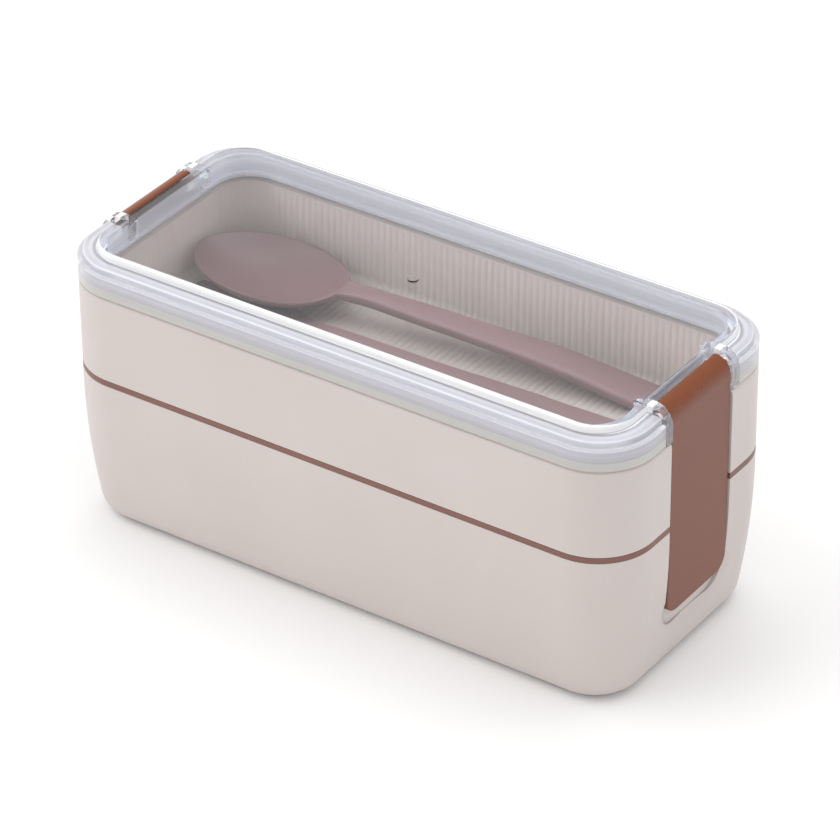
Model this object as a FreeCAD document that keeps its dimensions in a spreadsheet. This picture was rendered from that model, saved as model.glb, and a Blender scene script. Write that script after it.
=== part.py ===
import FreeCAD, Part
import Sketcher
import math
import os

# Two-tier bento lunch box: lower tier, middle lid, upper tier with a spoon and a fork,
# clear lid and two side clasps.
# Frame: origin at the middle of the base, +X along the box, +Z up; all lengths in millimetres.

DIMENSIONS = {
    # whole box
    "box_length": 190.0,
    "box_width": 84.5,
    "corner_radius": 17.7,
    # lower tier
    "lower_height": 49.25,
    "taper_top": 45.9,
    "taper_divisor": 500.0,
    "taper_corner_share": 0.82,
    "base_round": 6.6,
    "lower_floor": 2.2,
    "lower_cavity_length": 178.4,
    "lower_cavity_width": 78.9,
    "lower_cavity_radius": 13.2,
    "lower_cavity_inset": 2.6,
    "lower_cavity_fillet": 6.0,
    # middle lid
    "stack_gap": 0.15,
    "band_thickness": 1.7,
    "plateau_length": 174.0,
    "plateau_width": 72.9,
    "plateau_radius": 10.7,
    "plateau_height": 1.3,
    "plug_play": 0.6,
    "plug_depth": 5.5,
    "plug_wall": 2.4,
    "seal_height": 2.0,
    "seal_drop": 1.6,
    "seal_depth": 1.0,
    "seal_relief": 0.2,
    # upper tier
    "upper_height": 27.0,
    "shoulder_round": 1.5,
    "tongue_height": 3.7,
    "tongue_length": 181.0,
    "tongue_width": 79.9,
    "tongue_radius": 15.1,
    "tray_length": 176.4,
    "tray_width": 75.1,
    "tray_radius": 12.9,
    "tray_inset": 0.4,
    "tray_fillet": 3.0,
    "tray_floor_lift": 3.5,
    "foot_length": 174.8,
    "foot_width": 73.7,
    "foot_radius": 11.1,
    "foot_depth": 1.6,
    # clear lid
    "skirt_height": 6.9,
    "skirt_wall": 1.8,
    "lid_edge_step": 1.4,
    "ring_rise": 2.0,
    "ring_edge_round": 1.1,
    "ring_thickness": 3.0,
    "lid_plug_length": 175.4,
    "lid_plug_width": 74.1,
    "lid_plug_radius": 12.4,
    "lid_plug_wall": 2.0,
    "lid_plug_depth": 5.7,
    "lid_seal_lift": 0.7,
    "lid_seal_height": 1.8,
    "panel_length": 177.0,
    "panel_width": 73.8,
    "panel_radius": 11.8,
    "panel_flare": 0.4,
    "panel_rise": 2.3,
    "panel_fillet": 0.8,
    "panel_thickness": 1.8,
    "gate_radius": 1.6,
    "gate_height": 0.5,
    # clasps, their hinge and the catch
    "clasp_width": 30.6,
    "clasp_side_play": 0.4,
    "clasp_face": 94.6,
    "clasp_thickness": 1.8,
    "clasp_tip_height": 20.6,
    "clasp_tip_radius": 5.0,
    "clasp_shoulder_radius": 5.2,
    "clasp_edge_round": 0.5,
    "clasp_back_round": 1.2,
    "clasp_shoulder_edge": 88.6,
    "clasp_top_height": 88.8,
    "clasp_plate_top": 82.5,
    "hinge_x": 91.4,
    "hinge_z": 86.0,
    "knuckle_radius": 2.0,
    "knuckle_width": 3.0,
    "stub_radius": 1.4,
    "stub_length": 2.0,
    "stub_play": 0.06,
    "channel_floor": 91.6,
    "channel_bottom": 14.6,
    "channel_bottom_radius": 7.0,
    "catch_height": 33.0,
    "catch_thickness": 2.0,
    "catch_reach": 0.9,
    "catch_width": 20.0,
    "rail_gap": 0.3,
    "rail_height": 2.0,
    "rail_reach": 0.9,
    # hinge ears on the clear lid
    "ear_thickness": 3.0,
    "ear_back": 84.4,
    "ear_front": 95.2,
    "ear_top": 89.8,
    "ear_foot": 78.5,
    "ear_inner_foot": 83.5,
    "ear_front_radius": 6.0,
    # finger scoop under each clasp
    "scoop_depth": 1.5,
    "scoop_centre_height": 17.5,
    "scoop_half_height": 9.0,
    "scoop_half_width": 16.4,
    "scoop_wall": 93.1,
}

# Spoon and fork, each in its own frame: X along the handle, Z up, then placed on the tray floor.
CUTLERY = {
    "spoon_bowl_half_length": 24.5,
    "spoon_bowl_half_width": 17.0,
    "spoon_bowl_depth": 7.6,
    "spoon_wall": 1.7,
    "section_round": 0.6,
    "fork_head_length": 38.0,
    "fork_head_width": 21.0,
    "fork_head_radius": 5.5,
    "fork_head_tip": 36.5,
    "fork_head_thickness": 1.8,
    "fork_slot_width": 2.2,
    "fork_slot_length": 24.0,
    "fork_slot_pitch": 5.8,
}
SPOON_PLACE = FreeCAD.Vector(-61.1, 16.2, 64.75)
SPOON_YAW = 4.4
SPOON_PITCH = 2.95
FORK_PLACE = FreeCAD.Vector(-44.6, 4.4, 54.9)
FORK_YAW = 0.2

# Handle sections: distance along the axis, width, height of the top, thickness.
SPOON_HANDLE = (
    (23.3, 7.6, 0.0, 1.5),
    (30.0, 6.8, 0.0, 2.8),
    (60.0, 8.2, 0.0, 3.0),
    (100.0, 10.8, 0.0, 3.0),
    (127.0, 12.4, 0.0, 3.0),
    (131.0, 8.0, 0.0, 2.6),
)
FORK_HANDLE = (
    (0.0, 13.0, 1.8, 1.8),
    (12.0, 7.4, 2.6, 2.6),
    (40.0, 8.6, 3.0, 3.0),
    (85.0, 12.2, 3.0, 3.0),
    (113.0, 14.0, 3.0, 3.0),
    (117.0, 9.0, 2.8, 2.6),
)

# Levels at which the lower tier's curving wall is described, as shares of its height.
TAPER_SHARES = (0.0, 0.2, 0.4, 0.6, 0.8, 1.0)

doc = FreeCAD.newDocument("bento_lunch_box")
sheet = doc.addObject("Spreadsheet::Sheet", "dims")
for row, (alias, value) in enumerate({**DIMENSIONS, **CUTLERY}.items(), start=1):
    sheet.set(f"A{row}", alias)
    sheet.set(f"B{row}", str(value))
    sheet.setAlias(f"B{row}", alias)
doc.recompute()

# Heights of the stack, as expressions of the sheet.
BAND_BOTTOM = "(dims.lower_height + dims.stack_gap)"
BAND_TOP = f"({BAND_BOTTOM} + dims.band_thickness)"
UPPER_BOTTOM = f"({BAND_TOP} + dims.stack_gap)"
SHOULDER = f"({UPPER_BOTTOM} + dims.upper_height)"
TONGUE_TOP = f"({SHOULDER} + dims.tongue_height)"
TRAY_FLOOR = f"({UPPER_BOTTOM} + dims.tray_floor_lift)"
SKIRT_BOTTOM = f"({SHOULDER} + dims.stack_gap)"
EDGE_STEP = f"({SKIRT_BOTTOM} + dims.skirt_height)"
RING_TOP = f"({EDGE_STEP} + dims.ring_rise)"
RING_BOTTOM = f"({RING_TOP} - dims.ring_thickness)"
PLUG_BOTTOM = f"({RING_BOTTOM} - dims.lid_plug_depth)"
PANEL_TOP = f"({RING_TOP} + dims.panel_rise)"
NOTCH_HALF_WIDTH = "(dims.clasp_width / 2 + dims.clasp_side_play)"
CLASP_INNER = "(dims.clasp_face - dims.clasp_thickness)"

# The box's ends along X, and each end's two flanks along Y.
SIDES = ((1, "right"), (-1, "left"))
FLANKS = ((1, "back"), (-1, "front"))

pieces = []


def new_body(label):
    """A PartDesign body whose label names the piece."""
    body = doc.addObject("PartDesign::Body", label)
    body.Label = label
    pieces.append(body)
    return body


def new_sketch(body, name, role, offset):
    """A sketch on one of the body's origin planes, moved along the plane's normal."""
    sketch = body.newObject("Sketcher::SketchObject", name)
    origin_plane = next(item for item in body.Origin.OriginFeatures if item.Role == role)
    sketch.AttachmentSupport = [(origin_plane, "")]
    sketch.MapMode = "FlatFace"
    sketch.setExpression("AttachmentOffset.Base.z", offset)
    return sketch


def bind(sketch, kind, elements, name, expression):
    """Add one dimension to a sketch and drive it from the sheet."""
    value = float(sheet.evalExpression(expression))
    index = sketch.addConstraint(Sketcher.Constraint(kind, *elements, value))
    sketch.renameConstraint(index, name)
    sketch.setExpression(f"Constraints.{name}", expression)


def rounded_rectangle(sketch, length, width, radius, centre=("0", "0")):
    """Four lines and four corner arcs, fully driven by expressions; a sketch may hold several."""
    size_x, size_y, corner, mid_x, mid_y = (
        float(sheet.evalExpression(name)) for name in (length, width, radius, *centre)
    )
    base = sketch.GeometryCount
    lines = [base + side for side in range(4)]
    arcs = [base + 4 + side for side in range(4)]
    hubs = [
        FreeCAD.Vector(mid_x + sx * (size_x / 2 - corner), mid_y + sy * (size_y / 2 - corner), 0)
        for sx, sy in ((-1, -1), (1, -1), (1, 1), (-1, 1))
    ]
    outward = [
        FreeCAD.Vector(sx * corner, sy * corner, 0) for sx, sy in ((0, -1), (1, 0), (0, 1), (-1, 0))
    ]
    for side in range(4):
        start = hubs[side] + outward[side]
        end = hubs[(side + 1) % 4] + outward[side]
        sketch.addGeometry(Part.LineSegment(start, end), False)
    for side in range(4):
        circle = Part.Circle(hubs[(side + 1) % 4], FreeCAD.Vector(0, 0, 1), corner)
        first = math.radians(90 * (side - 1))
        sketch.addGeometry(Part.ArcOfCircle(circle, first, first + math.pi / 2), False)
    for side in range(4):
        sketch.addConstraint(Sketcher.Constraint("Tangent", lines[side], 2, arcs[side], 1))
        sketch.addConstraint(Sketcher.Constraint("Tangent", arcs[side], 2, lines[(side + 1) % 4], 1))
    for side in (0, 2):
        sketch.addConstraint(Sketcher.Constraint("Horizontal", lines[side]))
        sketch.addConstraint(Sketcher.Constraint("Vertical", lines[side + 1]))
    for arc in arcs[1:]:
        sketch.addConstraint(Sketcher.Constraint("Equal", arcs[0], arc))
    right, left = arcs[0], arcs[3]
    bind(sketch, "Radius", (right,), f"corner_{base}", radius)
    bind(sketch, "DistanceX", (left, 3, right, 3), f"span_x_{base}", f"{length} - 2 * ({radius})")
    bind(sketch, "DistanceY", (right, 3, arcs[1], 3), f"span_y_{base}", f"{width} - 2 * ({radius})")
    hub_x = f"{centre[0]} - ({length}) / 2 + ({radius})"
    hub_y = f"{centre[1]} - ({width}) / 2 + ({radius})"
    bind(sketch, "DistanceX", (-1, 1, left, 3), f"hub_x_{base}", hub_x)
    bind(sketch, "DistanceY", (-1, 1, left, 3), f"hub_y_{base}", hub_y)


def outline(sketch, points):
    """A closed polygon whose corners are driven by pairs of expressions."""
    seeds = [
        FreeCAD.Vector(float(sheet.evalExpression(x)), float(sheet.evalExpression(y)), 0)
        for x, y in points
    ]
    count = len(points)
    for index in range(count):
        sketch.addGeometry(Part.LineSegment(seeds[index], seeds[(index + 1) % count]), False)
    for index in range(count):
        sketch.addConstraint(Sketcher.Constraint("Coincident", index, 2, (index + 1) % count, 1))
    for index, (x, y) in enumerate(points):
        bind(sketch, "DistanceX", (-1, 1, index, 1), f"corner_{index}_x", x)
        bind(sketch, "DistanceY", (-1, 1, index, 1), f"corner_{index}_y", y)


def circle_at(sketch, centre_x, centre_y, radius):
    """One circle driven by three expressions."""
    seed_x, seed_y, seed_r = (
        float(sheet.evalExpression(name)) for name in (centre_x, centre_y, radius)
    )
    centre = FreeCAD.Vector(seed_x, seed_y, 0)
    sketch.addGeometry(Part.Circle(centre, FreeCAD.Vector(0, 0, 1), seed_r), False)
    bind(sketch, "Radius", (0,), "radius", radius)
    bind(sketch, "DistanceX", (-1, 1, 0, 3), "centre_x", centre_x)
    bind(sketch, "DistanceY", (-1, 1, 0, 3), "centre_y", centre_y)


def extrude(body, kind, sketch, length):
    """Pad or pocket along the sketch's normal."""
    feature = body.newObject(f"PartDesign::{kind}", f"{kind}_{sketch.Name}")
    feature.Profile = sketch
    feature.setExpression("Length", length)
    feature.Reversed = kind == "Pocket"
    doc.recompute()
    sketch.Visibility = False
    return feature


def slab(body, kind, name, bottom, height, length, width, radius):
    """A rounded-rectangle layer of the stack, added or removed."""
    sketch = new_sketch(body, name, "XY_Plane", bottom)
    rounded_rectangle(sketch, length, width, radius)
    return extrude(body, kind, sketch, height)


def drafted(body, kind, name, top, height, length, width, radius, inset):
    """A rounded-rectangle block hanging from its top outline and narrowing towards its bottom."""
    sketch = new_sketch(body, name, "XY_Plane", top)
    rounded_rectangle(sketch, length, width, radius)
    feature = extrude(body, kind, sketch, height)
    feature.Reversed = kind == "Pad"
    feature.setExpression("TaperAngle", f"-atan({inset} / ({height}))")
    doc.recompute()
    return feature


def fillet(body, radius, wanted):
    """Round every edge of the body's tip for which wanted(edge) is true."""
    base = body.Tip
    names = [
        f"Edge{index}" for index, edge in enumerate(base.Shape.Edges, start=1) if wanted(edge)
    ]
    feature = body.newObject("PartDesign::Fillet", f"Fillet_{base.Name}")
    feature.Base = (base, names)
    feature.setExpression("Radius", radius)
    doc.recompute()
    return feature


def level(expression):
    """An edge test: flat at one height."""
    height = float(sheet.evalExpression(expression))
    return lambda edge: (
        abs(edge.BoundBox.ZMin - height) < 0.01 and abs(edge.BoundBox.ZMax - height) < 0.01
    )


def ring(body, kind, name, bottom, height, length, width, radius, outside, inside):
    """A rounded-rectangle frame between two offsets of one outline, added or removed."""
    sketch = new_sketch(body, name, "XY_Plane", bottom)
    for offset in (outside, inside):
        rounded_rectangle(
            sketch,
            f"{length} - 2 * ({offset})",
            f"{width} - 2 * ({offset})",
            f"{radius} - ({offset})",
        )
    return extrude(body, kind, sketch, height)


def clasp_channel(body, name, sign, bottom, height, radius=None):
    """The shallow upright channel in one end wall in which the clasp lies."""
    offset = "dims.channel_floor" if sign > 0 else "-dims.box_length / 2 - dims.scoop_depth"
    depth = "dims.box_length / 2 - dims.channel_floor + dims.scoop_depth"
    sketch = new_sketch(body, f"{name}_{dict(SIDES)[sign]}", "YZ_Plane", offset)
    if radius is None:
        half = NOTCH_HALF_WIDTH
        outline(
            sketch,
            (
                (f"-{half}", bottom),
                (half, bottom),
                (half, f"{bottom} + {height}"),
                (f"-{half}", f"{bottom} + {height}"),
            ),
        )
    else:
        rounded_rectangle(
            sketch, f"2 * {NOTCH_HALF_WIDTH}", height, radius, ("0", f"{bottom} + ({height}) / 2")
        )
    return extrude(body, "Pocket", sketch, depth)


def loft(body, name, sketches, ruled):
    """A solid through a row of sketches."""
    feature = body.newObject("PartDesign::AdditiveLoft", name)
    feature.Profile = sketches[0]
    feature.Sections = sketches[1:]
    feature.Ruled = ruled
    doc.recompute()
    return feature


def taper_section(body, number, share):
    """The lower tier's outer outline at a share of the height over which its wall curves in."""
    sketch = new_sketch(body, f"lower_outer_{number}", "XY_Plane", f"{share} * dims.taper_top")
    inset = f"(pow((1 - {share}) * dims.taper_top; 2) / dims.taper_divisor)"
    rounded_rectangle(
        sketch,
        f"dims.box_length - 2 * {inset}",
        f"dims.box_width - 2 * {inset}",
        f"dims.corner_radius - dims.taper_corner_share * {inset}",
    )
    return sketch


# Lower tier: outer wall curving in towards a rounded base, drafted cavity, clasp channels,
# catch rails and finger scoops.
lower = new_body("lower_tier")
loft(
    lower, "lower_outer",
    [taper_section(lower, number, share) for number, share in enumerate(TAPER_SHARES)], False,
)
slab(
    lower, "Pad", "lower_rim", "dims.taper_top", "dims.lower_height - dims.taper_top",
    "dims.box_length", "dims.box_width", "dims.corner_radius",
)
fillet(lower, "dims.base_round", level("0"))
drafted(
    lower, "Pocket", "lower_cavity", "dims.lower_height", "dims.lower_height - dims.lower_floor",
    "dims.lower_cavity_length", "dims.lower_cavity_width", "dims.lower_cavity_radius",
    "dims.lower_cavity_inset",
)
fillet(lower, "dims.lower_cavity_fillet", level("dims.lower_floor"))
for sign, side_name in SIDES:
    clasp_channel(
        lower, "lower_channel", sign, "dims.channel_bottom",
        "dims.lower_height - dims.channel_bottom + 2 * dims.channel_bottom_radius",
        "dims.channel_bottom_radius",
    )
    rail = new_sketch(lower, f"rail_{side_name}", "XZ_Plane", "-dims.catch_width / 2")
    rail_low = "dims.catch_height + dims.rail_gap"
    rail_high = f"{rail_low} + dims.rail_height"
    root = f"{sign} * (dims.channel_floor - dims.rail_reach)"
    tip = f"{sign} * (dims.channel_floor + dims.rail_reach)"
    outline(rail, ((root, rail_low), (tip, rail_low), (tip, rail_high), (root, rail_high)))
    extrude(lower, "Pad", rail, "dims.catch_width")
    scoop = lower.newObject("PartDesign::SubtractiveTorus", f"scoop_{side_name}")
    tall, broad = (
        f"((pow(dims.scoop_half_{span}; 2) + pow(dims.scoop_depth; 2)) / (2 * dims.scoop_depth))"
        for span in ("height", "width")
    )
    scoop.setExpression("Radius1", f"{broad} - {tall}")
    scoop.setExpression("Radius2", tall)
    reach = f"(dims.scoop_wall - dims.scoop_depth + {broad})"
    scoop.setExpression("Placement.Base.x", f"{sign} * {reach}")
    scoop.setExpression("Placement.Base.z", "dims.scoop_centre_height")
    doc.recompute()

# Middle lid: brown plate whose edge shows as the split line, a plateau above it
# and a grooved plug below it.
MIDDLE_PLUG = (
    "dims.lower_cavity_length - 2 * dims.plug_play",
    "dims.lower_cavity_width - 2 * dims.plug_play",
    "dims.lower_cavity_radius - dims.plug_play",
)
MIDDLE_SEAL_BOTTOM = f"({BAND_BOTTOM} - dims.seal_drop - dims.seal_height)"
middle = new_body("middle_lid")
slab(
    middle, "Pad", "band", BAND_BOTTOM, "dims.band_thickness",
    "dims.box_length", "dims.box_width", "dims.corner_radius",
)
slab(
    middle, "Pad", "plateau", BAND_TOP, "dims.plateau_height",
    "dims.plateau_length", "dims.plateau_width", "dims.plateau_radius",
)
ring(
    middle, "Pad", "plug", f"{BAND_BOTTOM} - dims.plug_depth", "dims.plug_depth",
    *MIDDLE_PLUG, "0", "dims.plug_wall",
)
ring(
    middle, "Pocket", "plug_groove", MIDDLE_SEAL_BOTTOM, "dims.seal_height",
    *MIDDLE_PLUG, "-1", "dims.seal_depth",
)
for sign, side_name in SIDES:
    clasp_channel(middle, "band_channel", sign, f"{BAND_BOTTOM} - 1", "dims.band_thickness + 2")

# Sealing ring in the middle lid's groove.
middle_seal = new_body("middle_lid_seal")
ring(
    middle_seal, "Pad", "middle_ring", f"{MIDDLE_SEAL_BOTTOM} + dims.seal_relief / 4",
    "dims.seal_height - dims.seal_relief / 2", *MIDDLE_PLUG,
    "-dims.plug_play + 2 * dims.seal_relief", "dims.seal_depth - dims.seal_relief / 4",
)

# Upper tier: straight outer block, a tongue for the clear lid, a drafted tray and a foot recess below.
upper = new_body("upper_tier")
slab(
    upper, "Pad", "upper_outer", UPPER_BOTTOM, "dims.upper_height",
    "dims.box_length", "dims.box_width", "dims.corner_radius",
)
fillet(upper, "dims.shoulder_round", level(SHOULDER))
slab(
    upper, "Pad", "tongue", SHOULDER, "dims.tongue_height",
    "dims.tongue_length", "dims.tongue_width", "dims.tongue_radius",
)
drafted(
    upper, "Pocket", "tray", TONGUE_TOP, f"{TONGUE_TOP} - {TRAY_FLOOR}",
    "dims.tray_length", "dims.tray_width", "dims.tray_radius", "dims.tray_inset",
)
fillet(upper, "dims.tray_fillet", level(TRAY_FLOOR))
slab(
    upper, "Pocket", "foot", UPPER_BOTTOM, "dims.foot_depth",
    "dims.foot_length", "dims.foot_width", "dims.foot_radius",
)
for sign, side_name in SIDES:
    clasp_channel(upper, "upper_channel", sign, f"{UPPER_BOTTOM} - 1", "dims.upper_height + 2")

# Clear lid: skirt, stepped ring, plug with a seal groove, raised panel, end notches and hinge ears.
LID_PLUG = ("dims.lid_plug_length", "dims.lid_plug_width", "dims.lid_plug_radius")
LID_SEAL_BOTTOM = f"({PLUG_BOTTOM} + dims.lid_seal_lift)"
lid = new_body("clear_lid")
slab(
    lid, "Pad", "skirt", SKIRT_BOTTOM, "dims.skirt_height",
    "dims.box_length", "dims.box_width", "dims.corner_radius",
)
slab(
    lid, "Pad", "ring_block", EDGE_STEP, "dims.ring_rise",
    "dims.box_length - 2 * dims.lid_edge_step", "dims.box_width - 2 * dims.lid_edge_step",
    "dims.corner_radius - dims.lid_edge_step",
)
fillet(lid, "dims.ring_edge_round", level(RING_TOP))
drafted(
    lid, "Pad", "panel", PANEL_TOP, "dims.panel_rise",
    "dims.panel_length", "dims.panel_width", "dims.panel_radius", "0 - dims.panel_flare",
)
fillet(lid, "dims.panel_fillet", level(PANEL_TOP))
slab(
    lid, "Pocket", "lid_hollow", SKIRT_BOTTOM, f"{RING_BOTTOM} - {SKIRT_BOTTOM}",
    "dims.box_length - 2 * dims.skirt_wall", "dims.box_width - 2 * dims.skirt_wall",
    "dims.corner_radius - dims.skirt_wall",
)
ring(
    lid, "Pad", "lid_plug", PLUG_BOTTOM, f"{RING_BOTTOM} - {PLUG_BOTTOM}",
    *LID_PLUG, "0", "dims.lid_plug_wall",
)
slab(
    lid, "Pocket", "panel_hollow", PLUG_BOTTOM,
    f"{PANEL_TOP} - dims.panel_thickness - {PLUG_BOTTOM}",
    "dims.lid_plug_length - 2 * dims.lid_plug_wall", "dims.lid_plug_width - 2 * dims.lid_plug_wall",
    "dims.lid_plug_radius - dims.lid_plug_wall",
)
ring(
    lid, "Pocket", "lid_groove", LID_SEAL_BOTTOM, "dims.lid_seal_height",
    *LID_PLUG, "-0.2", "dims.seal_depth",
)
for sign, side_name in SIDES:
    notch = new_sketch(
        lid, f"notch_{side_name}", "YZ_Plane",
        "dims.lid_plug_length / 2" if sign > 0 else "-dims.ear_front",
    )
    notch_low = f"{SKIRT_BOTTOM} - 1"
    notch_high = f"{PANEL_TOP} + 1"
    outline(
        notch,
        (
            (f"-{NOTCH_HALF_WIDTH}", notch_low),
            (NOTCH_HALF_WIDTH, notch_low),
            (NOTCH_HALF_WIDTH, notch_high),
            (f"-{NOTCH_HALF_WIDTH}", notch_high),
        ),
    )
    extrude(lid, "Pocket", notch, "dims.ear_front - dims.lid_plug_length / 2")
for sign, side_name in SIDES:
    for flank, flank_name in FLANKS:
        near = NOTCH_HALF_WIDTH if flank < 0 else f"-{NOTCH_HALF_WIDTH} - dims.ear_thickness"
        ear = new_sketch(lid, f"ear_{side_name}_{flank_name}", "XZ_Plane", near)
        inner_wall = "dims.box_length / 2 - dims.skirt_wall"
        root_height = f"{RING_TOP} - dims.ring_thickness / 2"
        plug_inner = "dims.lid_plug_length / 2 - dims.lid_plug_wall / 2"
        outline(
            ear,
            [
                (f"{sign} * ({x})", z)
                for x, z in (
                    ("dims.ear_back", "dims.ear_inner_foot"),
                    (plug_inner, "dims.ear_inner_foot"),
                    (plug_inner, root_height),
                    (inner_wall, root_height),
                    (inner_wall, "dims.ear_foot"),
                    ("dims.ear_front", "dims.ear_foot"),
                    ("dims.ear_front", "dims.ear_top"),
                    ("dims.ear_back", "dims.ear_top"),
                )
            ],
        )
        extrude(lid, "Pad", ear, "dims.ear_thickness")


def ear_corner(x_name):
    """An edge test: the ears' top corners at one distance from the middle."""
    reach = float(sheet.evalExpression(x_name))
    top = float(sheet.evalExpression("dims.ear_top"))
    return lambda edge: (
        abs(abs(edge.CenterOfMass.x) - reach) < 0.01
        and abs(edge.CenterOfMass.z - top) < 0.01
        and edge.BoundBox.XLength < 0.01
    )


fillet(lid, "dims.ear_front_radius", ear_corner("dims.ear_front"))
SOCKET_DEPTH = "(dims.stub_length + dims.clasp_side_play)"
for sign, side_name in SIDES:
    for flank, flank_name in FLANKS:
        start = "dims.clasp_width / 2" if flank < 0 else f"-dims.clasp_width / 2 - {SOCKET_DEPTH}"
        socket = new_sketch(lid, f"socket_{side_name}_{flank_name}", "XZ_Plane", start)
        circle_at(
            socket, f"{sign} * dims.hinge_x", "dims.hinge_z", "dims.stub_radius + dims.stub_play"
        )
        extrude(lid, "Pocket", socket, SOCKET_DEPTH)
gate = new_sketch(lid, "gate", "XY_Plane", PANEL_TOP)
circle_at(gate, "0", "0", "dims.gate_radius")
extrude(lid, "Pad", gate, "dims.gate_height")

# Sealing ring in the clear lid's groove.
lid_seal = new_body("lid_seal")
ring(
    lid_seal, "Pad", "lid_ring", f"{LID_SEAL_BOTTOM} + dims.seal_relief / 4",
    "dims.lid_seal_height - dims.seal_relief / 2", *LID_PLUG,
    "-dims.seal_relief", "dims.seal_depth - dims.seal_relief / 4",
)

# Side clasps: a plate with a rounded shoulder, two knuckles with stub pins
# and a catch behind the plate.
for sign, side_name in SIDES:
    clasp = new_body(f"{side_name}_clasp")
    shoulder_low = "dims.clasp_top_height - dims.clasp_thickness"
    shoulder = new_sketch(clasp, f"{side_name}_shoulder", "XZ_Plane", "-dims.clasp_width / 2")
    outline(
        shoulder,
        [
            (f"{sign} * {x}", z)
            for x, z in (
                ("dims.clasp_shoulder_edge", shoulder_low),
                (CLASP_INNER, shoulder_low),
                (CLASP_INNER, "dims.clasp_tip_height"),
                ("dims.clasp_face", "dims.clasp_tip_height"),
                ("dims.clasp_face", "dims.clasp_top_height"),
                ("dims.clasp_shoulder_edge", "dims.clasp_top_height"),
            )
        ],
    )
    extrude(clasp, "Pad", shoulder, "dims.clasp_width")
    face = float(sheet.evalExpression("dims.clasp_face"))
    inner_face = float(sheet.evalExpression(CLASP_INNER))
    tip_height = float(sheet.evalExpression("dims.clasp_tip_height"))
    plate_top = float(sheet.evalExpression("dims.clasp_plate_top"))
    shoulder_edge = float(sheet.evalExpression("dims.clasp_shoulder_edge"))
    top_height = float(sheet.evalExpression("dims.clasp_top_height"))
    fillet(
        clasp, "dims.clasp_shoulder_radius",
        lambda edge: abs(abs(edge.CenterOfMass.x) - face) < 0.01
        and edge.CenterOfMass.z > plate_top and edge.BoundBox.ZLength < 0.01,
    )
    fillet(
        clasp, "dims.clasp_shoulder_radius - dims.clasp_thickness",
        lambda edge: abs(abs(edge.CenterOfMass.x) - inner_face) < 0.01
        and edge.CenterOfMass.z > plate_top and edge.BoundBox.ZLength < 0.01,
    )
    fillet(
        clasp, "dims.clasp_back_round",
        lambda edge: abs(abs(edge.CenterOfMass.x) - shoulder_edge) < 0.01
        and abs(edge.CenterOfMass.z - top_height) < 0.01,
    )
    fillet(
        clasp, "dims.clasp_tip_radius",
        lambda edge: edge.BoundBox.ZMax < tip_height + 0.01 and edge.BoundBox.YLength < 0.01,
    )
    fillet(
        clasp, "dims.clasp_edge_round",
        lambda edge: abs(abs(edge.CenterOfMass.x) - face) < 0.01 and edge.BoundBox.XLength < 0.01
        and edge.CenterOfMass.z < plate_top,
    )
    catch = new_sketch(clasp, f"{side_name}_catch", "XZ_Plane", "-dims.catch_width / 2")
    outline(
        catch,
        [
            (f"{sign} * ({x})", z)
            for x, z in (
                (f"{CLASP_INNER} - dims.catch_reach", "dims.catch_height - dims.catch_thickness"),
                (f"{CLASP_INNER} + dims.catch_reach", "dims.catch_height - dims.catch_thickness"),
                (f"{CLASP_INNER} + dims.catch_reach", "dims.catch_height"),
                (f"{CLASP_INNER} - dims.catch_reach", "dims.catch_height"),
            )
        ],
    )
    extrude(clasp, "Pad", catch, "dims.catch_width")
    half = "dims.clasp_width / 2"
    rounds = (
        ("knuckle_back", f"-{half}", "knuckle_radius", "dims.knuckle_width"),
        ("knuckle_front", f"{half} - dims.knuckle_width", "knuckle_radius", "dims.knuckle_width"),
        ("stub_back", f"-{half} - dims.stub_length", "stub_radius", "2 * dims.stub_length"),
        ("stub_front", f"{half} - dims.stub_length", "stub_radius", "2 * dims.stub_length"),
    )
    for round_name, start, radius, length in rounds:
        sketch = new_sketch(clasp, f"{side_name}_{round_name}", "XZ_Plane", start)
        circle_at(sketch, f"{sign} * dims.hinge_x", "dims.hinge_z", f"dims.{radius}")
        extrude(clasp, "Pad", sketch, length)


def handle(body, sections):
    """A handle lofted through upright rounded rectangles along the body's X axis."""
    sketches = []
    for number, (distance, width, top, thickness) in enumerate(sections):
        sketch = new_sketch(body, f"{body.Label}_section_{number}", "YZ_Plane", str(distance))
        centre = ("0", str(top - thickness / 2))
        rounded_rectangle(sketch, str(width), str(thickness), "dims.section_round", centre)
        sketches.append(sketch)
    loft(body, f"{body.Label}_handle", sketches, True)


# Spoon: half an ellipsoid shell for the bowl and a tapering handle, leaning on the fork and the floor.
spoon = new_body("spoon")
for kind, shrink in (("Additive", "0"), ("Subtractive", "dims.spoon_wall")):
    bowl = spoon.newObject(f"PartDesign::{kind}Ellipsoid", f"bowl_{kind.lower()}")
    bowl.setExpression("Radius1", f"dims.spoon_bowl_depth - {shrink}")
    bowl.setExpression("Radius2", f"dims.spoon_bowl_half_length - {shrink}")
    bowl.setExpression("Radius3", f"dims.spoon_bowl_half_width - {shrink}")
    doc.recompute()
bowl_cut = new_sketch(spoon, "bowl_cut", "XY_Plane", "0")
rounded_rectangle(
    bowl_cut, "3 * dims.spoon_bowl_half_length", "3 * dims.spoon_bowl_half_width", "dims.spoon_wall"
)
extrude(spoon, "Pocket", bowl_cut, "2 * dims.spoon_bowl_depth")
handle(spoon, SPOON_HANDLE)
spoon.Placement = FreeCAD.Placement(
    SPOON_PLACE,
    FreeCAD.Rotation(FreeCAD.Vector(0, 0, 1), SPOON_YAW)
    * FreeCAD.Rotation(FreeCAD.Vector(0, 1, 0), SPOON_PITCH),
)

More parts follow.
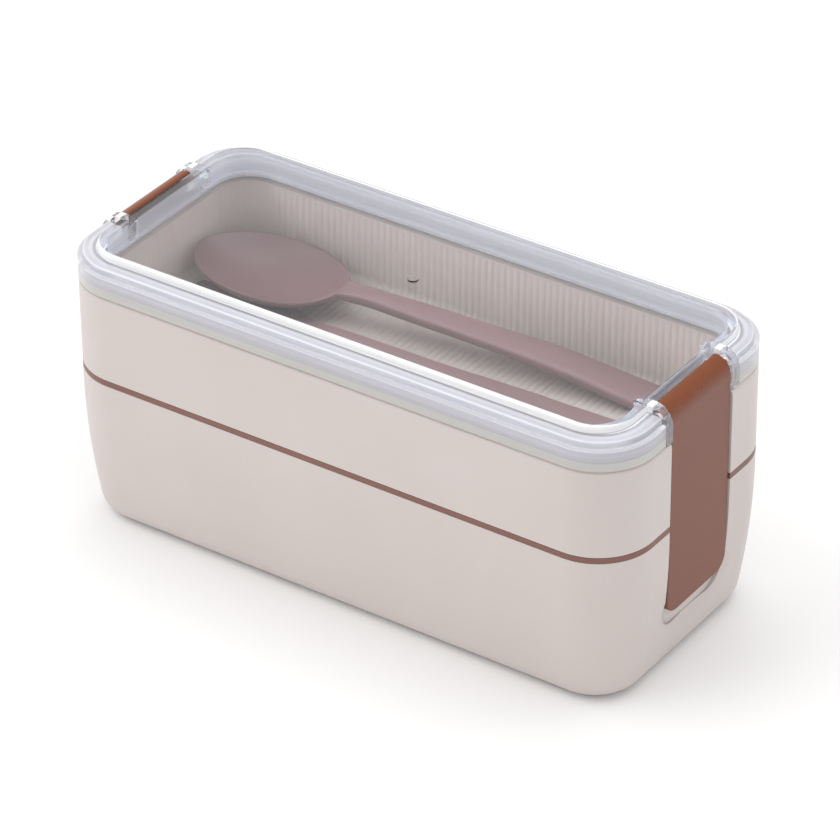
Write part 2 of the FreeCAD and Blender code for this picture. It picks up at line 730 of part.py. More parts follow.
# Fork: flat slotted head and a tapering handle, lying on the tray floor.
fork = new_body("fork")
head = new_sketch(fork, "fork_head", "XY_Plane", "0")
rounded_rectangle(
    head, "dims.fork_head_length", "dims.fork_head_width", "dims.fork_head_radius",
    ("dims.fork_head_length / 2 - dims.fork_head_tip", "0"),
)
extrude(fork, "Pad", head, "dims.fork_head_thickness")
slots = new_sketch(fork, "fork_slots", "XY_Plane", "0")
for step in (-1, 0, 1):
    rounded_rectangle(
        slots, "2 * dims.fork_slot_length", "dims.fork_slot_width", "dims.fork_slot_width / 2.05",
        ("-dims.fork_head_tip", f"{step} * dims.fork_slot_pitch"),
    )
extrude(fork, "Pocket", slots, "dims.fork_head_thickness")
handle(fork, FORK_HANDLE)
fork.Placement = FreeCAD.Placement(
    FORK_PLACE, FreeCAD.Rotation(FreeCAD.Vector(0, 0, 1), FORK_YAW)
)

doc.recompute()
faulty = [item.Name for item in doc.Objects if {"Invalid", "Error"} & set(item.State)]
if faulty:
    raise RuntimeError(f"features in error: {faulty}")
os.makedirs("parts", exist_ok=True)
for piece in pieces:
    shape = piece.Shape
    if shape.isNull() or not shape.isValid() or len(shape.Solids) != 1:
        raise RuntimeError(f"{piece.Label} is not one valid solid")
    shape.exportStep(f"parts/{piece.Label}.step")
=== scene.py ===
import math

import bmesh
import bpy
from mathutils import Matrix, Vector


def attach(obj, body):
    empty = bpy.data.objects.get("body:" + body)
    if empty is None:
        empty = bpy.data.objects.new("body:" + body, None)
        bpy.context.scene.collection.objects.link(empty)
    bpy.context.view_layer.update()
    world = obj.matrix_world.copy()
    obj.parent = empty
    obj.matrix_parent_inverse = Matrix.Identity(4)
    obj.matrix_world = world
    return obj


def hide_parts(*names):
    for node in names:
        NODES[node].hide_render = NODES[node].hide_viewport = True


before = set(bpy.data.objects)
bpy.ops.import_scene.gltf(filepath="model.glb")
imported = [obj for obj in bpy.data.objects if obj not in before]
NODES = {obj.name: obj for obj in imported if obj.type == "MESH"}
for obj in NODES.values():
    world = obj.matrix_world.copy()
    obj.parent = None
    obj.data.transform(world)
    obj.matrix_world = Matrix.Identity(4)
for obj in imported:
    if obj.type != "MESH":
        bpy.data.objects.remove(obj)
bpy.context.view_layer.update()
MM = 0.001


# ---------------------------------------------------------------- materials
OBJECT_OUTPUT = 3
SHADOW_RAY_OUTPUT = 1
WHITE = (1.0, 1.0, 1.0, 1.0)
BLACK = (0.0, 0.0, 0.0, 1.0)


class Tree:
    """Adds shader nodes to one node tree; a socket given as an input's value is linked."""

    def __init__(self, owner):
        owner.use_nodes = True
        self.tree = owner.node_tree
        self.tree.nodes.clear()

    def add(self, kind, inputs=None, output=0, **settings):
        item = self.tree.nodes.new(kind)
        for key, value in settings.items():
            setattr(item, key, value)
        for key, value in (inputs or {}).items():
            socket = item.inputs[key]
            if isinstance(value, bpy.types.NodeSocket):
                self.tree.links.new(value, socket)
            else:
                socket.default_value = value
        return item.outputs[output] if len(item.outputs) else item

    def object_place(self):
        return self.add("ShaderNodeTexCoord", output=OBJECT_OUTPUT)

    def axes(self, vector):
        split = self.tree.nodes.new("ShaderNodeSeparateXYZ")
        self.tree.links.new(vector, split.inputs[0])
        return split.outputs

    def noise(self, vector, scale, detail=2.0, roughness=0.5):
        return self.add(
            "ShaderNodeTexNoise",
            {"Vector": vector, "Scale": scale, "Detail": detail, "Roughness": roughness},
        )

    def maths(self, operation, first, second=0.0):
        return self.add("ShaderNodeMath", {0: first, 1: second}, operation=operation)

    def product(self, first, *others):
        for value in others:
            first = self.maths("MULTIPLY", first, value)
        return first

    def remap(self, value, low, high, from_low=0.3, from_high=0.7):
        ends = {"From Min": from_low, "From Max": from_high, "To Min": low, "To Max": high}
        return self.add("ShaderNodeMapRange", {"Value": value, **ends})

    def above(self, value, level, soft):
        """0 up to level, 1 from level + soft."""
        return self.remap(value, 0.0, 1.0, level, level + soft)

    def below(self, value, level, soft):
        """1 up to level, 0 from level + soft."""
        return self.remap(value, 1.0, 0.0, level, level + soft)

    def band(self, value, low, high, soft):
        """1 while value lies between low and high, fading to 0 over soft on both sides."""
        return self.product(self.above(value, low - soft, soft), self.below(value, high, soft))

    def blend(self, factor, first, second, blend_type="MIX"):
        colours = {0: factor, 6: first, 7: second}
        return self.add("ShaderNodeMix", colours, 2, data_type="RGBA", blend_type=blend_type)

    def ramp(self, value, stops):
        """Colour along rows of (position, sRGB colour)."""
        low, high = stops[0][0], stops[-1][0]
        item = self.tree.nodes.new("ShaderNodeValToRGB")
        self.tree.links.new(self.remap(value, 0.0, 1.0, low, high), item.inputs[0])
        marks = item.color_ramp.elements
        while len(marks) < len(stops):
            marks.new(1.0)
        for mark, (position, colour) in zip(marks, stops):
            mark.position = (position - low) / (high - low)
            mark.color = rgb(*colour)
        return item.outputs[0]

    def bump(self, height, distance, strength, normal=None):
        inputs = {"Height": height, "Distance": distance, "Strength": strength}
        if normal is not None:
            inputs["Normal"] = normal
        return self.add("ShaderNodeBump", inputs)

    def principled(self, colour, roughness, **others):
        """A principled shader; other sockets are given by name, with _ for a space."""
        inputs = {"Base Color": colour, "Roughness": roughness}
        inputs.update({key.replace("_", " "): value for key, value in others.items()})
        return self.add("ShaderNodeBsdfPrincipled", inputs)

    def mix(self, factor, first, second):
        return self.add("ShaderNodeMixShader", {0: factor, 1: first, 2: second})

    def end(self, surface):
        self.add("ShaderNodeOutputMaterial", {"Surface": surface})


def rgb(red, green, blue):
    """An sRGB colour, 0 to 255, as a linear one."""
    linear = []
    for part in (red, green, blue):
        share = part / 255
        linear.append(share / 12.92 if share <= 0.04045 else ((share + 0.055) / 1.055) ** 2.4)
    return (*linear, 1.0)


PLASTIC_IOR = 1.49
DRIFT_SCALE = 22.0
DRIFT_DETAIL = 3.0
SMEAR_SCALE = 140.0
SMEAR_DETAIL = 4.0
GRAIN_SCALE = 1900.0
GRAIN_GLOSS = 0.03
WAVE_HEIGHT = 0.00004
WAVE_STRENGTH = 0.25


def plastic_noises(t, place):
    """Colour drift, smears in the gloss and fine spark-eroded grain of moulded plastic."""
    drift = t.noise(place, DRIFT_SCALE, DRIFT_DETAIL)
    smear = t.noise(place, SMEAR_SCALE, SMEAR_DETAIL, 0.6)
    grain = t.noise(place, GRAIN_SCALE, 2.0, 0.6)
    return drift, smear, grain


def moulded(name, light, dark, roughness, grain_height, shade=(), shade_axis=2):
    """Injection-moulded plastic, shaded by a ramp along one axis where shade is given."""
    mat = bpy.data.materials.new(name)
    t = Tree(mat)
    place = t.object_place()
    drift, smear, grain = plastic_noises(t, place)
    colour = t.blend(t.remap(drift, 0.0, 1.0), light, dark)
    if shade:
        shadow = t.ramp(t.axes(place)[shade_axis], shade)
        colour = t.blend(1.0, colour, shadow, "MULTIPLY")
    gloss = t.maths(
        "ADD",
        t.remap(smear, roughness - 0.04, roughness + 0.05),
        t.remap(grain, -GRAIN_GLOSS, GRAIN_GLOSS),
    )
    waves = t.bump(smear, WAVE_HEIGHT, WAVE_STRENGTH)
    normal = t.bump(grain, grain_height, 0.6, waves)
    t.end(t.principled(colour, gloss, Normal=normal, IOR=PLASTIC_IOR))
    return mat


SHOULDER_DROP = 0.0035
SHOULDER_WANDER = 0.0006
FACE_GLOSS = 0.42
SHOULDER_GLOSS = 0.2


def clasp_plastic(name, face, shoulder, top):
    """Moulded plastic whose shoulder is glossier than its satin face and carries a warmer painted
    sheen.
    """
    mat = bpy.data.materials.new(name)
    t = Tree(mat)
    place = t.object_place()
    drift, smear, grain = plastic_noises(t, place)
    edge = t.maths("ADD", t.axes(place)[2], t.remap(smear, -SHOULDER_WANDER, SHOULDER_WANDER))
    polish_and_sheen = t.above(edge, top - SHOULDER_DROP, SHOULDER_DROP)
    satin = t.blend(t.remap(drift, 0.94, 1.0), BLACK, face)
    gloss = t.maths(
        "ADD",
        t.remap(polish_and_sheen, FACE_GLOSS, SHOULDER_GLOSS, 0.0, 1.0),
        t.remap(grain, -GRAIN_GLOSS, GRAIN_GLOSS),
    )
    normal = t.bump(grain, 0.00002, 0.5, t.bump(smear, WAVE_HEIGHT, WAVE_STRENGTH))
    # The shoulder's warmer colour is a painted sheen; its lower roughness is real gloss.
    colour = t.blend(polish_and_sheen, satin, shoulder)
    surface = t.principled(colour, gloss, Normal=normal, Specular_IOR_Level=0.3, IOR=PLASTIC_IOR)
    t.end(surface)
    return mat


def edge_distance(t, along, across, half_x, half_y, corner):
    """Distance outwards from a rounded rectangle seen from above; negative inside it."""
    over_x = t.maths("SUBTRACT", t.maths("ABSOLUTE", along), half_x - corner)
    over_y = t.maths("SUBTRACT", t.maths("ABSOLUTE", across), half_y - corner)
    square_x = t.maths("POWER", t.maths("MAXIMUM", over_x, 0.0), 2.0)
    square_y = t.maths("POWER", t.maths("MAXIMUM", over_y, 0.0), 2.0)
    beyond = t.maths("SQRT", t.maths("ADD", square_x, square_y))
    within = t.maths("MINIMUM", t.maths("MAXIMUM", over_x, over_y), 0.0)
    return t.maths("SUBTRACT", t.maths("ADD", beyond, within), corner)


# Rows of (position in metres, sRGB colour). The skirt and ring rows are the clear lid's milky
# colour with painted highlight lines and painted shadow lines on its edges and steps; the gap rows
# paint a shadow line on the tier's top under the lid's skirt; the tray rows paint shade, darker
# towards the tray's floor; the bowl rows paint shade on the spoon's bowl and the fork's head. The
# skirt, gap and tray rows run up the height above the table, the ring rows run inwards from the
# clear lid's outline, and the bowl rows run along X.
SKIRT_PAINTED_LIGHT_STOPS = (
    (0.0784, (168, 161, 157)),
    (0.0788, (186, 180, 176)),
    (0.0791, (236, 232, 226)),
    (0.0797, (228, 225, 220)),
    (0.0811, (224, 223, 223)),
    (0.0817, (205, 204, 208)),
    (0.0823, (212, 212, 220)),
    (0.0838, (220, 220, 230)),
    (0.0847, (208, 208, 218)),
    (0.0850, (248, 248, 253)),
    (0.0853, (240, 240, 248)),
    (0.0856, (208, 208, 217)),
    (0.0864, (204, 204, 213)),
    (0.0868, (206, 206, 215)),
    (0.0870, (246, 246, 252)),
)
# The ring's rows: painted highlight lines, a painted shadow line at the panel's foot and the panel
# wall's painted highlight.
RING_PAINTED_LIGHT_STOPS = (
    (0.0013, (240, 240, 247)),
    (0.0019, (250, 250, 255)),
    (0.0023, (224, 223, 230)),
    (0.0031, (224, 223, 232)),
    (0.0037, (240, 240, 248)),
    (0.0043, (232, 232, 238)),
    (0.0047, (172, 171, 175)),
    (0.0052, (166, 166, 170)),
    (0.0056, (255, 255, 255)),
)
# Painted shadow line on the tier's top, under the clear lid's skirt.
GAP_SHADOW_STOPS = (
    (0.0, (255, 255, 255)),
    (0.0779, (255, 255, 255)),
    (0.0782, (206, 200, 196)),
    (0.0790, (206, 200, 196)),
)
# Painted shade, darker towards the tray's floor.
TRAY_SHADE_STOPS = (
    (0.0, (216, 217, 214)),
    (0.0556, (216, 217, 214)),
    (0.0600, (238, 237, 235)),
    (0.0680, (255, 255, 255)),
    (0.0820, (255, 255, 255)),
)
# Painted shade, darker towards the left end: the spoon's bowl and the fork's head.
BOWL_SHADE_STOPS = (
    (-0.09, (226, 222, 222)),
    (-0.05, (232, 228, 228)),
    (-0.03, (255, 255, 255)),
    (0.10, (255, 255, 255)),
)

# The clear lid, in metres: X and Y from the middle, heights from the table and insets from
# the outline.
LID_HALF_X = 0.095
LID_HALF_Y = 0.04225
LID_CORNER = 0.0177
RIM_TOP = 0.0871
RIM_END_INSET = 0.0056
INNER_TINT_INSET = 0.0058
INNER_TINT = (238, 243, 255)
PANEL_FOOT = 0.0874
PANEL_WALL_IN = 0.0064
PANEL_WALL_OUT = 0.0046
PLUG_CLEAR_BELOW = 0.0806
PLUG_OUT = 0.0046
EAR_FROM_Y = 0.0156
EAR_TO_Y = 0.0186
EAR_FROM_X = 0.0840
NOTCH_FROM_X = 0.0874
NOTCH_TO_X = 0.0880
NOTCH_TO_Y = 0.0155
FINE, SOFT, SOFTER = 0.0002, 0.0003, 0.0004
RIM_HAZE = 0.56
INNER_HAZE = 0.6
EAR_CLEARNESS = 0.6
# Haze of the panel wall's painted white highlight.
PANEL_WALL_HIGHLIGHT_HAZE = 0.92
SHEERNESS = 0.85
STREAK_SCALES = (12.0, 12.0, 2600.0)
GLASS_TINT = (0.985, 0.99, 1.0, 1.0)
PASSED_LIGHT = (0.95, 0.96, 0.97, 1.0)


def lid_tint(t, inward, height, streak):
    """Colour of the rim's haze: painted highlight lines and painted shadow lines up the skirt and
    across the top, bluish inside.
    """
    # The skirt's and ring's lines are painted highlights and painted shadow lines.
    lines = t.blend(
        t.above(height, RIM_TOP, FINE), t.ramp(height, SKIRT_PAINTED_LIGHT_STOPS), t.ramp(inward, RING_PAINTED_LIGHT_STOPS)
    )
    lines = t.blend(t.remap(streak, 0.0, 0.12), lines, WHITE)
    return t.blend(t.above(inward, INNER_TINT_INSET, FINE), lines, rgb(*INNER_TINT))


def lid_glass(t, smear, normal, ior, roughness):
    gloss = t.remap(smear, *roughness)
    return t.principled(GLASS_TINT, gloss, Normal=normal, Transmission_Weight=1.0, IOR=ior)


def lid_haze(t, from_middle, inward, height, low_rim, tint):
    """Share of haze in the rim: most on its outside, less in the ears, more on the painted
    highlight lines.
    """
    past_x, past_y = from_middle
    plug = t.above(inward, PLUG_OUT, FINE)
    outer = t.product(t.below(inward, RIM_END_INSET, SOFTER), low_rim)
    around = t.product(outer, t.below(inward, PLUG_OUT, FINE))
    inner = t.product(plug, low_rim, t.above(height, PLUG_CLEAR_BELOW, SOFTER))
    rim = t.maths("MAXIMUM", t.product(around, RIM_HAZE), t.product(inner, INNER_HAZE))
    ears = t.product(
        t.band(past_y, EAR_FROM_Y, EAR_TO_Y, SOFTER), t.above(past_x, EAR_FROM_X, SOFTER)
    )
    cloudiness = t.maths("SUBTRACT", 1.0, t.product(ears, EAR_CLEARNESS))
    return t.product(rim, cloudiness, t.remap(tint, 1.0, 1.3, 0.88, 0.96))


def lid_sheer(t, from_middle, inward, height):
    """Share left fully see-through, in the plug's foot and the notches for the clasps."""
    past_x, past_y = from_middle
    foot = t.product(
        t.above(inward, PLUG_OUT, FINE), t.below(height, PLUG_CLEAR_BELOW, SOFTER)
    )
    notch = t.product(
        t.band(past_x, NOTCH_FROM_X, NOTCH_TO_X, FINE), t.below(past_y, NOTCH_TO_Y, SOFT)
    )
    return t.product(t.maths("MAXIMUM", foot, notch), SHEERNESS)


def clear(name):
    """Clear plastic: glass-like in the raised panel, hazy in the thick rim, with painted highlights
    and painted shadow lines on its edges.
    """
    mat = bpy.data.materials.new(name)
    t = Tree(mat)
    place = t.object_place()
    along, across, height = t.axes(place)
    from_middle = (t.maths("ABSOLUTE", along), t.maths("ABSOLUTE", across))
    outward = edge_distance(t, along, across, LID_HALF_X, LID_HALF_Y, LID_CORNER)
    inward = t.product(outward, -1.0)
    smear = t.noise(place, 90.0, 3.0, 0.5)
    drawn = t.add("ShaderNodeMapping", {"Vector": place, "Scale": STREAK_SCALES})
    streak = t.noise(drawn, 1.0, 2.0, 0.6)
    normal = t.bump(smear, 0.00002, 0.1)

    tint = lid_tint(t, inward, height, streak)
    low_rim = t.below(height, PANEL_FOOT, SOFT)
    # Painted highlight: the raised panel's side wall is white and almost fully hazy.
    panel_wall_highlight = t.product(
        t.band(inward, PANEL_WALL_OUT, PANEL_WALL_IN, FINE), t.above(height, PANEL_FOOT, SOFT)
    )
    frost_tint = t.blend(panel_wall_highlight, tint, WHITE)
    frosted = t.principled(frost_tint, t.remap(smear, 0.14, 0.24), Normal=normal, IOR=1.5)
    shown = t.add("ShaderNodeBsdfTranslucent", {"Color": tint, "Normal": normal})
    cloudy = t.mix(0.15, frosted, shown)

    veil = lid_haze(t, from_middle, inward, height, low_rim, tint)
    haze = t.maths("MAXIMUM", veil, t.product(panel_wall_highlight, PANEL_WALL_HIGHLIGHT_HAZE))
    haze = t.product(haze, t.remap(streak, 0.92, 1.08))
    panel = lid_glass(t, smear, normal, 1.4, (0.005, 0.02))
    thick = lid_glass(t, smear, normal, 1.2, (0.02, 0.05))
    body = t.mix(haze, t.mix(low_rim, panel, thick), cloudy)
    passed = t.add("ShaderNodeBsdfTransparent", {"Color": PASSED_LIGHT})
    body = t.mix(lid_sheer(t, from_middle, inward, height), body, passed)
    lamp_ray = t.add("ShaderNodeLightPath", output=SHADOW_RAY_OUTPUT)
    t.end(t.mix(lamp_ray, body, passed))
    return mat


def silicone(name, tint):
    """Soft translucent rubber of the sealing rings."""
    mat = bpy.data.materials.new(name)
    t = Tree(mat)
    fine = t.noise(t.object_place(), 900.0)
    surface = t.principled(
        tint,
        t.remap(fine, 0.42, 0.55),
        Normal=t.bump(fine, 0.00002, 0.4),
        Subsurface_Weight=0.3,
        Subsurface_Radius=(0.002, 0.002, 0.002),
        Subsurface_Scale=1.0,
    )
    t.end(surface)
    return mat


SATIN_GRAIN = 0.00003
FINE_GRAIN = 0.00002
SHOULDER_TOP = 0.0878
# The tier plastic has a painted shadow line on its top, under the clear lid's skirt.
TIER = moulded(
    "tier_plastic", rgb(205, 196, 192), rgb(201, 191, 187), 0.42, SATIN_GRAIN, GAP_SHADOW_STOPS
)
# The tray liner is the tier's plastic made lighter, painted light for the inside of the box, with
# painted shade towards its floor.
LIT_TRAY = moulded(
    "tray_plastic_lit", rgb(230, 219, 215), rgb(225, 213, 209), 0.40, SATIN_GRAIN, TRAY_SHADE_STOPS
)
BROWN = moulded("brown_plastic", rgb(128, 88, 77), rgb(122, 82, 71), 0.40, SATIN_GRAIN)
# The clasps' warmer shoulder colour is a painted sheen.
CLASP = clasp_plastic("clasp_plastic", rgb(125, 80, 66), rgb(126, 67, 38), SHOULDER_TOP)
# The cutlery plastic has painted shade on the spoon's bowl and the fork's head.
CUTLERY = moulded(
    "cutlery_plastic", rgb(137, 107, 109), rgb(130, 100, 102), 0.36, FINE_GRAIN, BOWL_SHADE_STOPS, 0
)
CLEAR = clear("clear_plastic")
SILICONE = silicone("silicone", rgb(246, 246, 248))

for node, mat in (
    ("lower_tier", TIER),
    ("upper_tier", TIER),
    ("middle_lid", BROWN),
    ("right_clasp", CLASP),
    ("left_clasp", CLASP),
    ("clear_lid", CLEAR),
    ("lid_seal", SILICONE),
    ("middle_lid_seal", SILICONE),
):
    holder = NODES[node]
    holder.data.materials.clear()
    holder.data.materials.append(mat)


# ---------------------------------------------------------------- pieces
def piece(name, bm, mat, body, node=None):
    """Turn a closed bmesh, given in millimetres, into a smooth piece that rides on a body."""
    bmesh.ops.recalc_face_normals(bm, faces=bm.faces)
    for face in bm.faces:
        face.smooth = True
    bmesh.ops.scale(bm, vec=(MM, MM, MM), verts=bm.verts)
    mesh = bpy.data.meshes.new(name)
    bm.to_mesh(mesh)
    bm.free()
    item = bpy.data.objects.new(name, mesh)
    bpy.context.scene.collection.objects.link(item)
    mesh.materials.append(mat)
    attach(item, body)
    if node:
        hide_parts(node)
    return item


def stitch(bm, first, second):
    """Join two closed loops of the same length with a band of faces."""
    count = len(first)
    for index in range(count):
        after = (index + 1) % count
        bm.faces.new((first[index], first[after], second[after], second[index]))


def tube(rings, place):
    """A closed skin over a row of closed loops of points, moved to its place."""
    bm = bmesh.new()
    loops = [[bm.verts.new(place @ Vector(point)) for point in ring] for ring in rings]
    for first, second in zip(loops, loops[1:]):
        stitch(bm, first, second)
    for end in (loops[0], loops[-1]):
        bm.faces.new(end)
    return bm


def step(value, low, high):
    """0 below low, 1 above high, with a smooth passage between them."""
    share = min(max((value - low) / (high - low), 0.0), 1.0)
    return share * share * (3 - 2 * share)


def round_end(past, reach, power=2):
    """Share of the width that is left at a distance past the start of a rounded end."""
    return math.sqrt(max(1 - (max(past, 0.0) / reach) ** power, 0.0))


def along_table(table, value):
    """Smoothly interpolate a table of (position, value) rows."""
    for (x0, y0), (x1, y1) in zip(table, table[1:]):
        if value <= x1:
            return y0 + (y1 - y0) * step(value, x0, x1)
    return table[-1][1]


def spread(low, high, count):
    """Positions from low to high, closer together near both ends."""
    return [
        (low + high) / 2 - (high - low) / 2 * math.cos(math.pi * index / (count - 1))
        for index in range(count)
    ]


def turned(place, yaw, pitch=0.0):
    """Matrix of a piece at place, turned about Z and then about its own Y, in degrees."""
    return (
        Matrix.Translation(place)
        @ Matrix.Rotation(math.radians(yaw), 4, "Z")
        @ Matrix.Rotation(math.radians(pitch), 4, "Y")
    )


THINNEST = 0.05

# The spoon, in millimetres along X from the middle of its bowl: (position, value) rows.
SPOON_LONG = 24.5
SPOON_WIDE = 17.0
SPOON_DEEP = 5.9
SPOON_WALL = 1.6
SPOON_HANDLE_THICK = 3.0
SPOON_CROWN = 0.45
SPOON_KEEL = 0.35
SPOON_TIP_FROM = 126.0
SPOON_END = 131.0
SPOON_JOIN = (17.0, 31.0)
SPOON_NECK = (
    (0.0, 0.0),
    (10.0, 2.0),
    (22.0, 4.0),
    (31.0, 3.6),
    (60.0, 4.5),
    (100.0, 5.8),
    (126.0, 6.4),
)
SPOON_ARCH = ((14.0, 0.0), (36.0, 2.2), (62.0, 2.6), (88.0, 2.9), (131.0, 0.4))
SPOON_PLACE = turned((-61.1, 16.2, 64.95), 4.4, 2.95)
NECK_BLEND = 5


def spoon_half_width(x):
    bowl = SPOON_WIDE * math.sqrt(max(1 - (x / SPOON_LONG) ** 2, 0.0))
    neck = along_table(SPOON_NECK, x) if x > 0 else 0.0
    tip = round_end(x - SPOON_TIP_FROM, SPOON_END - SPOON_TIP_FROM)
    return max((bowl**NECK_BLEND + neck**NECK_BLEND) ** (1 / NECK_BLEND) * tip, THINNEST)


def spoon_ring(x, around=48):
    """One cross-section of the spoon: a dished bowl that turns into a crowned handle."""
    half = spoon_half_width(x)
    handle = step(x, *SPOON_JOIN)
    bowl_share = max(1 - (x / SPOON_LONG) ** 2, 0.0) ** 0.8 * (1 - handle)
    deep = SPOON_DEEP * bowl_share
    edge = (SPOON_WALL + (SPOON_HANDLE_THICK - SPOON_WALL) * handle) * 0.5
    arch = along_table(SPOON_ARCH, max(x, SPOON_ARCH[0][0]))
    ring = []
    for index in range(around):
        angle = 2 * math.pi * index / around
        s = math.cos(angle)
        round_off = math.sqrt(max(1 - abs(s) ** 14, 0.0))
        if math.sin(angle) >= 0:
            dish = (1 - s * s) ** 0.85
            z = -deep * dish - edge * (1 - round_off) + SPOON_CROWN * handle * (1 - s * s)
        else:
            hull = (1 - s * s) ** 0.62
            z = -edge - edge * round_off - (deep + SPOON_KEEL * bowl_share) * hull
        ring.append((x, half * s, z + arch))
    return ring


spoon_xs = spread(-SPOON_LONG + 0.02, SPOON_LONG - 0.5, 44)
spoon_xs += spread(SPOON_LONG + 0.4, SPOON_END - 0.05, 46)
spoon_skin = tube([spoon_ring(x) for x in spoon_xs], SPOON_PLACE)
piece("spoon_sculpt", spoon_skin, CUTLERY, "spoon", "spoon")

# The fork, in millimetres along X from the root of its head.
FORK_TIP = -36.5
FORK_HEAD_FROM = -30.5
FORK_HEAD_REACH = 6.4
FORK_END_FROM = 112.0
FORK_END = 117.0
FORK_THIN = 1.8
FORK_THICKER = 1.2
FORK_CROWN = 0.3
FORK_NECK_END = 16.0
FORK_WIDTHS = (
    (-36.5, 9.6),
    (-27.0, 10.4),
    (-15.0, 10.2),
    (9.0, 3.8),
    (40.0, 4.3),
    (85.0, 6.1),
    (113.0, 7.0),
)
FORK_PLACE = turned((-44.6, 4.4, 55.3), 0.2)
SLOT_CENTRES = (-5.8, 0.0, 5.8)
SLOT_ROOT = -12.5
SLOT_HALF = 1.1
SLOT_PAST_TIP = 6
SLOT_HEIGHTS = (-2.0, 6.0)


def fork_ring(x, around=40):
    """One cross-section of the fork before its slots are cut."""
    half = along_table(FORK_WIDTHS, x)
    half *= round_end(x - FORK_END_FROM, FORK_END - FORK_END_FROM)
    half *= round_end(FORK_HEAD_FROM - x, FORK_HEAD_REACH, 2.6)
    thick = FORK_THIN + FORK_THICKER * step(x, -2.0, FORK_NECK_END)
    crown = FORK_CROWN * step(x, 0.0, FORK_NECK_END)
    ring = []
    for index in range(around):
        angle = 2 * math.pi * index / around
        s = math.cos(angle)
        flat = math.copysign(math.sqrt(max(1 - abs(s) ** 8, 0.0)), math.sin(angle))
        raised = crown * (1 - s * s) if math.sin(angle) > 0 else 0.0
        ring.append((x, max(half, THINNEST) * s, thick / 2 * (1 + flat) + raised))
    return ring


def slot_ring(centre, z, around=32):
    """Outline of one slot between two tines, round at its root."""
    ring = []
    for index in range(around):
        angle = 2 * math.pi * index / around
        reach = SLOT_HALF * math.cos(angle)
        base = SLOT_ROOT if reach >= 0 else FORK_TIP - SLOT_PAST_TIP
        ring.append((base + reach, centre + SLOT_HALF * math.sin(angle), z))
    return ring


def slot_cutter():
    """One scratch object that holds the solids of all the slots."""
    cutters = bmesh.new()
    for centre in SLOT_CENTRES:
        slot_skin = tube([slot_ring(centre, z) for z in SLOT_HEIGHTS], FORK_PLACE)
        bmesh.ops.recalc_face_normals(slot_skin, faces=slot_skin.faces)
        scratch = bpy.data.meshes.new("slot")
        slot_skin.to_mesh(scratch)
        slot_skin.free()
        cutters.from_mesh(scratch)
        bpy.data.meshes.remove(scratch)
    bmesh.ops.scale(cutters, vec=(MM, MM, MM), verts=cutters.verts)
    mesh = bpy.data.meshes.new("slots")
    cutters.to_mesh(mesh)
    cutters.free()
    cutter = bpy.data.objects.new("slots", mesh)
    bpy.context.scene.collection.objects.link(cutter)
    return cutter


fork_xs = spread(FORK_TIP + 0.05, 20.0, 60) + spread(22.0, FORK_END - 0.05, 40)
fork_skin = tube([fork_ring(x) for x in fork_xs], FORK_PLACE)
fork = piece("fork_sculpt", fork_skin, CUTLERY, "fork", "fork")
cutter = slot_cutter()
carve = fork.modifiers.new("slots", "BOOLEAN")
carve.operation = "DIFFERENCE"
carve.solver = "EXACT"
carve.object = cutter
bpy.context.view_layer.update()
evaluated = fork.evaluated_get(bpy.context.evaluated_depsgraph_get())
carved = bpy.data.meshes.new_from_object(evaluated)
fork.modifiers.clear()
fork.data = carved
bpy.data.objects.remove(cutter)

# The upper tier's ribbed liner, in millimetres.
TRAY_X = 88.2
TRAY_Y = 37.55
TRAY_CORNER = 12.9
TRAY_FLOOR = 54.75
TRAY_RIM = 81.95
TRAY_INSET = 0.4
TRAY_FILLET = 3.0
FILLET_STEPS = 6
RIB_HEIGHT = 0.42
RIB_TOP = 75.8
RIB_RUNOUT = 0.6
LINER_TOP = 78.2
LINER_PROUD = 0.08
LINER_SUNK = 0.45
LONG_RIBS = 68
END_RIBS = 22
END_RIB_SHARE = 0.3
PER_RIB = 8
PER_CORNER = 40
PER_CORNER_RIB = 4
WELD = 0.002


def tray_path():
    """Points round the tray's rim: x, y, outward normal, rib phase and share of the rib height."""
    rows = []
    flat_x = 2 * (TRAY_X - TRAY_CORNER)
    flat_y = 2 * (TRAY_Y - TRAY_CORNER)
    for quarter in range(4):
        if quarter % 2 == 0:
            length, ribs, reach, share = flat_x, LONG_RIBS, TRAY_Y, 1.0
        else:
            length, ribs, reach, share = flat_y, END_RIBS, TRAY_X, END_RIB_SHARE
        angle = math.radians(90 * quarter - 90)
        nx, ny = round(math.cos(angle)), round(math.sin(angle))
        for index in range(ribs * PER_RIB):
            walk = -length / 2 + length * index / (ribs * PER_RIB)
            x, y = nx * reach - ny * walk, ny * reach + nx * walk
            rows.append((x, y, nx, ny, index / PER_RIB, share))
        hub_x = nx * (reach - TRAY_CORNER) - ny * length / 2
        hub_y = ny * (reach - TRAY_CORNER) + nx * length / 2
        for index in range(PER_CORNER):
            turn = angle + math.pi / 2 * index / PER_CORNER
            cx, cy = math.cos(turn), math.sin(turn)
            place = (hub_x + TRAY_CORNER * cx, hub_y + TRAY_CORNER * cy)
            rows.append((*place, cx, cy, index / PER_CORNER_RIB, END_RIB_SHARE))
    return rows


